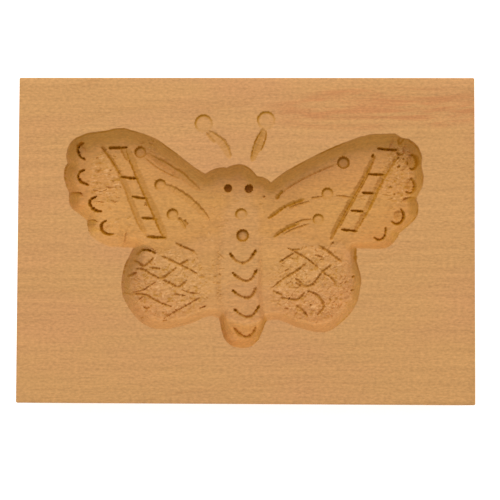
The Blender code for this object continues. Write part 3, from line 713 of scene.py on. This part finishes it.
def detail_cells():
    """How fine the mesh is in each cell of the face: 0 coarse, 1 medium, 2 fine."""
    xs = np.arange(-HALF_X + CELL / 2, HALF_X, CELL)
    ys = np.arange(-HALF_Y + CELL / 2, HALF_Y, CELL)
    grid_x, grid_y = np.meshgrid(xs, ys, indexing="ij")
    centres = np.stack([grid_x.ravel(), grid_y.ravel()], 1)
    level = np.zeros(len(centres), int)
    for loop, *_ in CAVITIES:
        level[inside(centres, loop)] = 1
    cut, _ = marks(centres)
    _, rough, _ = torn(centres)
    busy = ((cut > 0) | (rough > 0.15)).reshape(grid_x.shape)
    wide = busy.copy()
    for axis in (0, 1):
        for shift in (-1, 1):
            wide |= np.roll(busy, shift, axis)
    return np.where(wide, 2, level.reshape(grid_x.shape))


def keep_apart(points, fixed, gap):
    """The points that are at least about a gap away from every fixed one."""
    taken = set()
    for x, y in np.round(fixed / gap).astype(int):
        taken.update((x + i, y + j) for i in (-1, 0, 1) for j in (-1, 0, 1))
    keys = np.round(points / gap).astype(int)
    free = np.array([(x, y) not in taken for x, y in keys], bool)
    return points[free]


def feature_points():
    """Points along the rims, the cuts and the round marks, which the mesh follows, and the rims' edges."""
    points, edges = [], []
    for number, (loop, *_) in enumerate(CAVITIES):
        shared = np.zeros(len(loop), bool)
        for other, (other_loop, *_) in enumerate(CAVITIES):
            if other != number:
                shared |= inside(loop, other_loop)
        start = sum(len(part) for part in points)
        free = np.where(~shared)[0]
        place = {index: start + rank for rank, index in enumerate(free)}
        points.append(loop[free])
        edges.extend((place[i], place[(i + 1) % len(loop)]) for i in free if (i + 1) % len(loop) in place)
        for offset in (-1, 1, 2):
            points.append((loop + offset * RIM_LINE * inward(loop))[free])
    for kind, line in ALL_CUTS:
        path = smooth_line(line, LINE_SPACING)
        points.append(path + 0.5 * DEEPEST * kind.width * kind.lean * to_right(np.gradient(path, axis=0)))
    for x, y, radius, *_ in ALL_ROUNDS + ALL_EYES:
        for size in (radius, radius - 0.4):
            turn = np.linspace(0, 2 * math.pi, round(2 * math.pi * size / LINE_SPACING), endpoint=False)
            points.append(np.stack([x + size * np.cos(turn), y + size * np.sin(turn)], 1))
    return np.vstack(points), edges


def face_mesh():
    """The carved face from above: its points in mm and its triangles. The block's outline comes first."""
    border = block_outline(EDGE)
    features, rim_edges = feature_points()
    level = detail_cells()
    grids = []
    reach_x = HALF_X - EDGE - GRID_MARGIN
    reach_y = HALF_Y - EDGE - GRID_MARGIN
    for wanted, spacing in ((0, COARSE), (1, MEDIUM), (2, FINE)):
        grid = hex_grid(reach_x, reach_y, spacing)
        column = np.clip(((grid[:, 0] + HALF_X) / CELL).astype(int), 0, level.shape[0] - 1)
        row = np.clip(((grid[:, 1] + HALF_Y) / CELL).astype(int), 0, level.shape[1] - 1)
        grids.append(grid[level[column, row] == wanted])
    grid = keep_apart(np.vstack(grids), features, APART)
    points = np.vstack([border, features, grid])
    edges = [(i, (i + 1) % len(border)) for i in range(len(border))]
    edges += [(a + len(border), b + len(border)) for a, b in rim_edges]
    spots, _, triangles, _, _, _ = delaunay_2d_cdt([Vector(p) for p in points], edges, [], 0, 1e-5)
    return np.array(spots), np.array(triangles), len(border)


def carve():
    """The carved block as one closed mesh."""
    spots, triangles, border_count = face_mesh()
    base, dark, wall = hollow(spots)
    extra, tone = marks(spots)
    ripped, rough, pits = torn(spots)
    broken = 0.5 + 0.9 * noise(*spots.T, 4, 4, 75) + 0.4 * noise(*spots.T, 0.9, 0.9, 76)
    # painted shade: a dark line just inside the rims turned from the lamp, broken up by noise
    tone = np.maximum(tone, 0.5 * rim_shade_line(spots) * np.clip(broken, 0.1, 1.3))
    deep = np.clip(base - 1.0, 0, 1)
    # painted shade in the pits of the deep floors, partly end grain
    tone = np.maximum(tone, PIT_SHADE_TONE * deep * pits)
    depth = base + extra + deep * ripped

    # the block's sides: how far each ring of points is below the face, and how far inside the outline
    rings = [(BEND_DROP, BEND_INSET), (EDGE, 0.0), (THICK / 2, 0.0), (THICK - EDGE, 0.0),
             (THICK - BEND_DROP, BEND_INSET), (THICK, EDGE)]
    points = [np.column_stack([spots, THICK - depth])]
    for drop, inset in rings:
        ring = block_outline(inset)
        points.append(np.column_stack([ring, np.full(len(ring), THICK - drop)]))
    points = np.vstack(points) * UNIT
    faces = [tuple(t) for t in triangles]
    above = list(range(border_count))
    for number in range(len(rings)):
        first = len(spots) + number * border_count
        below = list(range(first, first + border_count))
        for i in range(border_count):
            j = (i + 1) % border_count
            faces.append((above[j], above[i], below[i], below[j]))
        above = below
    faces.append(tuple(reversed(above)))

    mesh = bpy.data.meshes.new("carved_block")
    mesh.from_pydata(points.tolist(), [], faces)
    mesh.validate()
    bm = bmesh.new()
    bm.from_mesh(mesh)
    bmesh.ops.recalc_face_normals(bm, faces=bm.faces)
    bm.to_mesh(mesh)
    bm.free()
    pad = np.zeros(len(points) - len(spots))
    for name, values in (("hollow", dark), ("wall", wall), ("cut", tone), ("torn", deep * rough)):
        layer = mesh.attributes.new(name, "FLOAT", "POINT")
        layer.data.foreach_set("value", np.concatenate([values, pad]).astype(np.float32))
    mesh.shade_smooth()
    mesh.set_sharp_from_angle(angle=SHARP_ANGLE)
    obj = bpy.data.objects.new("carved_block", mesh)
    bpy.context.scene.collection.objects.link(obj)
    return obj


class Nodes:
    """A material's node tree, with short calls that add a node and give its output."""

    def __init__(self, name):
        self.material = bpy.data.materials.new(name)
        self.material.use_nodes = True
        self.tree = self.material.node_tree
        self.shader = self.tree.nodes["Principled BSDF"]

    def add(self, kind, inputs, output=0, **settings):
        """A node of a kind; inputs maps its sockets to values or to other nodes' outputs."""
        made = self.tree.nodes.new("ShaderNode" + kind)
        for name, value in settings.items():
            setattr(made, name, value)
        for socket, value in inputs.items():
            self.set(made.inputs[socket], value)
        return made.outputs[output]

    def set(self, socket, value):
        if isinstance(value, bpy.types.NodeSocket):
            self.tree.links.new(value, socket)
        else:
            socket.default_value = value

    def math(self, operation, first, second=0.0, third=0.0, clamp=False):
        return self.add("Math", {0: first, 1: second, 2: third}, operation=operation, use_clamp=clamp)

    def vector(self, operation, first, second=(0, 0, 0)):
        output = "Value" if operation == "LENGTH" else "Vector"
        return self.add("VectorMath", {0: first, 1: second}, output, operation=operation)

    def noise(self, place, stretch, detail=2.0, roughness=0.5):
        """Noise with so many spots for each mm along X, Y and Z."""
        spots = self.vector("MULTIPLY", place, stretch)
        return self.add("TexNoise", {"Vector": spots, "Scale": 1.0, "Detail": detail,
                                     "Roughness": roughness})

    def range(self, value, low, high, to_low=0.0, to_high=1.0):
        return self.add("MapRange", {"Value": value, "From Min": low, "From Max": high, "To Min": to_low,
                                     "To Max": to_high})

    def mix(self, factor, first, second, blend="MIX"):
        return self.add("Mix", {0: factor, 6: first, 7: second}, 2, data_type="RGBA", blend_type=blend)

    def attribute(self, name):
        return self.add("Attribute", {}, "Fac", attribute_name=name)


# Colours of the wood, linear
EARLY_WOOD = (0.604, 0.311, 0.109, 1)
LATE_WOOD = (0.500, 0.235, 0.074, 1)
PINK_WOOD = (0.604, 0.290, 0.112, 1)
SWIRL_WOOD = (0.560, 0.235, 0.082, 1)
FLECK = (0.430, 0.190, 0.062, 1)
# Painted shade: the hollow's darker, yellower tint, which also stands for the cut wood's own tone
HOLLOW_SHADE_TINT = (0.995, 0.930, 0.695, 1)
# Painted shade: the greener tint of walls turned away from the lamp
SHADED_WALL_TINT = (1.02, 1.09, 0.90, 1)
# Painted shade in the cuts, pits, eyes and shaded rims, partly the end grain's darker tone: mid and darkest
OCHRE_CUT_SHADE = (0.450, 0.190, 0.008, 1)
CUT_SHADE_BROWN = (0.330, 0.098, 0.002, 1)
TORN_DARK = (0.450, 0.195, 0.022, 1)
TORN_LIGHT = (0.800, 0.450, 0.190, 1)

# The tree's pith in mm from the middle of the block's underside. The growth rings lie round a line along X
# through it, a little tapered.
PITH = (0.0, 36.0, -62.0)
TAPER = 0.05
RING_WIDTH = 3.1
RING_BEND = 26.0             # how far slow noise bends the rings
SWIRL_CENTRE = (43.0, 41.0, 20.0)
SWIRL_FALL = (0.028, 0.13, 0.09)  # how fast the swirl fades in each direction
FLECK_STRENGTH = 0.55
WOOD_SPECULAR = 0.18
BUMP_STRENGTH = 0.35
BUMP_DISTANCE = 0.12         # mm


def wood():
    """Pale, close-grained wood in solid 3-D: rings round a pith below the block, fibres and flecks."""
    n = Nodes("pale_wood")
    place = n.vector("MULTIPLY", n.add("TexCoord", {}, "Object"), (1 / UNIT,) * 3)

    # growth rings: their distance from the pith, bent by slow noise
    slow = n.vector("MULTIPLY", place, (0.011, 0.035, 0.035))
    drift = n.add("TexNoise", {"Vector": slow, "Scale": 1.0, "Detail": 1.5}, "Color")
    bend = n.vector("SUBTRACT", drift, (0.5,) * 3)
    bent = n.vector("ADD", place, n.vector("MULTIPLY", bend, (0.0, RING_BEND, RING_BEND)))
    from_pith = n.vector("SUBTRACT", bent, PITH)
    radius = n.vector("LENGTH", n.vector("MULTIPLY", from_pith, (0.0, 1.0, 1.0)))
    along = n.add("SeparateXYZ", {0: bent}, "X")
    years = n.math("DIVIDE", n.math("MULTIPLY_ADD", along, TAPER, radius), RING_WIDTH)
    season = n.math("POWER", n.math("FRACT", years), 5.0)
    strength = n.add("TexWhiteNoise", {"W": n.math("FLOOR", years)}, "Value", noise_dimensions="1D")
    broken = n.range(n.noise(place, (0.03, 0.25, 0.25)), 0.35, 0.65)
    late = n.math("MULTIPLY", n.math("MULTIPLY", season, strength), broken)

    streaks = n.noise(place, (0.022, 0.75, 0.75), 3.0, 0.6)
    fibres = n.noise(place, (0.18, 4.2, 4.2), 2.0, 0.6)
    mottle = n.noise(place, (0.025, 0.07, 0.07), 2.0)
    speckle = n.noise(place, (0.9, 1.6, 1.6), 2.0, 0.6)

    colour = n.mix(n.math("MULTIPLY", late, 0.7), EARLY_WOOD, LATE_WOOD)
    colour = n.mix(n.range(mottle, 0.42, 0.70, 0.0, 0.75), colour, PINK_WOOD)
    # the reddish swirl near the face's upper right corner
    from_swirl = n.vector("MULTIPLY", n.vector("SUBTRACT", bent, SWIRL_CENTRE), SWIRL_FALL)
    swirl = n.range(n.vector("LENGTH", from_swirl), 1.15, 0.75)
    wavy = n.noise(bent, (0.03, 0.5, 0.5), 3.0, 0.6)
    colour = n.mix(n.math("MULTIPLY", swirl, n.range(wavy, 0.42, 0.6, 0.15, 0.9)), colour, SWIRL_WOOD)
    # lighter and darker streaks, fibres and specks
    lightness = n.math("ADD", n.range(streaks, 0.3, 0.7, 0.93, 1.07), n.range(fibres, 0.3, 0.7, -0.06, 0.06))
    lightness = n.math("ADD", lightness, n.range(speckle, 0.3, 0.7, -0.13, 0.13))
    grey = n.add("CombineColor", {0: lightness, 1: lightness, 2: lightness})
    colour = n.mix(1.0, colour, grey, "MULTIPLY")

    # short dark flecks along the fibres
    flecks = n.tree.nodes.new("ShaderNodeTexVoronoi")
    n.set(flecks.inputs["Vector"], n.vector("MULTIPLY", place, (0.36, 1.9, 1.9)))
    flecks.inputs["Scale"].default_value = 1.0
    spot = n.range(flecks.outputs["Distance"], 0.30, 0.12)
    chosen = n.range(n.add("SeparateXYZ", {0: flecks.outputs["Color"]}, "X"), 0.62, 0.95)
    fleck = n.math("MULTIPLY", n.math("MULTIPLY", spot, chosen), FLECK_STRENGTH)
    colour = n.mix(fleck, colour, FLECK)

    # the hollow's painted shade, partly the cut wood's yellower tone; the painted shade tint of walls turned
    # from the lamp; torn fibres; painted shade in the cuts, pits and eyes over their darker end grain, and
    # along the rims turned from the lamp
    hollow_shade_share = n.attribute("hollow")
    cut_shade_share = n.attribute("cut")
    torn_share = n.attribute("torn")
    colour = n.mix(hollow_shade_share, colour, n.mix(1.0, colour, HOLLOW_SHADE_TINT, "MULTIPLY"))
    # painted shade: the greener tint on the walls turned from the lamp
    colour = n.mix(n.attribute("wall"), colour, n.mix(1.0, colour, SHADED_WALL_TINT, "MULTIPLY"))
    grit = n.noise(place, (1.3, 1.7, 1.7), 2.0, 0.6)
    colour = n.mix(n.math("MULTIPLY", torn_share, n.range(grit, 0.52, 0.60, 0.0, 0.22)), colour, TORN_DARK)
    colour = n.mix(n.math("MULTIPLY", torn_share, n.range(grit, 0.51, 0.40, 0.0, 0.8)), colour, TORN_LIGHT)
    cut_shade_factor = n.math("MULTIPLY", cut_shade_share, n.range(grit, 0.3, 0.7, 0.88, 1.0))
    colour = n.mix(n.range(cut_shade_factor, 0.0, 0.5), colour, OCHRE_CUT_SHADE)
    colour = n.mix(n.range(cut_shade_factor, 0.5, 1.0), colour, CUT_SHADE_BROWN)
    n.set(n.shader.inputs["Base Color"], colour)

    rough = n.range(fibres, 0.3, 0.7, 0.52, 0.64)
    rougher = n.math("MULTIPLY", torn_share, 0.2)
    n.set(n.shader.inputs["Roughness"], n.math("ADD", rough, rougher, clamp=True))
    n.shader.inputs["Specular IOR Level"].default_value = WOOD_SPECULAR

    pores = n.math("MULTIPLY_ADD", fleck, -0.8, fibres)
    relief = n.math("ADD", pores, n.math("MULTIPLY", n.math("MULTIPLY", grit, hollow_shade_share), 0.8))
    bump = n.add("Bump", {"Height": relief, "Strength": BUMP_STRENGTH, "Distance": BUMP_DISTANCE * UNIT})
    n.set(n.shader.inputs["Normal"], bump)
    return n.material


def stage():
    """A plain white floor under a white sky, one large soft lamp on the side of the butterfly's head."""
    mesh = bpy.data.meshes.new("floor")
    corners = [(x * FLOOR_HALF, y * FLOOR_HALF, 0) for x, y in ((-1, -1), (1, -1), (1, 1), (-1, 1))]
    mesh.from_pydata(corners, [], [(0, 1, 2, 3)])
    floor = bpy.data.objects.new("floor", mesh)
    bpy.context.scene.collection.objects.link(floor)
    n = Nodes("floor_white")
    n.shader.inputs["Base Color"].default_value = (0.9, 0.9, 0.9, 1)
    n.shader.inputs["Roughness"].default_value = 0.9
    n.shader.inputs["Emission Color"].default_value = (1, 1, 1, 1)
    n.shader.inputs["Emission Strength"].default_value = FLOOR_GLOW
    mesh.materials.append(n.material)

    world = bpy.data.worlds.new("sky")
    world.use_nodes = True
    background = world.node_tree.nodes["Background"]
    background.inputs["Color"].default_value = (1.0, 1.0, 1.0, 1)
    background.inputs["Strength"].default_value = SKY_STRENGTH
    bpy.context.scene.world = world

    lamp = bpy.data.lights.new("window", "AREA")
    lamp.shape = "RECTANGLE"
    lamp.size, lamp.size_y = LAMP_SIZE
    lamp.energy = LAMP_POWER
    holder = bpy.data.objects.new("window", lamp)
    beside = LAMP_REACH * math.cos(LAMP_ELEVATION)
    holder.location = (beside * math.cos(LAMP_AZIMUTH), beside * math.sin(LAMP_AZIMUTH),
                       LAMP_REACH * math.sin(LAMP_ELEVATION))
    holder.rotation_euler = (-Vector(holder.location)).to_track_quat("-Z", "Y").to_euler()
    bpy.context.scene.collection.objects.link(holder)


def camera():
    """Nearly straight above the block."""
    data = bpy.data.cameras.new("camera")
    data.sensor_width = SENSOR
    data.lens = LENS
    data.clip_start = 0.01
    obj = bpy.data.objects.new("camera", data)
    obj.location = (SIGHT[0] * UNIT, SIGHT[1] * UNIT, SIGHT_HEIGHT * UNIT)
    obj.rotation_euler = TURN
    bpy.context.scene.collection.objects.link(obj)
    bpy.context.scene.camera = obj


def main():
    """The carved block on its stage, riding on the frame's one body."""
    block = carve()
    block.data.materials.append(wood())
    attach(block, "root")
    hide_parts(NODE)
    stage()
    camera()
    bpy.context.scene.view_settings.view_transform = "Standard"


main()
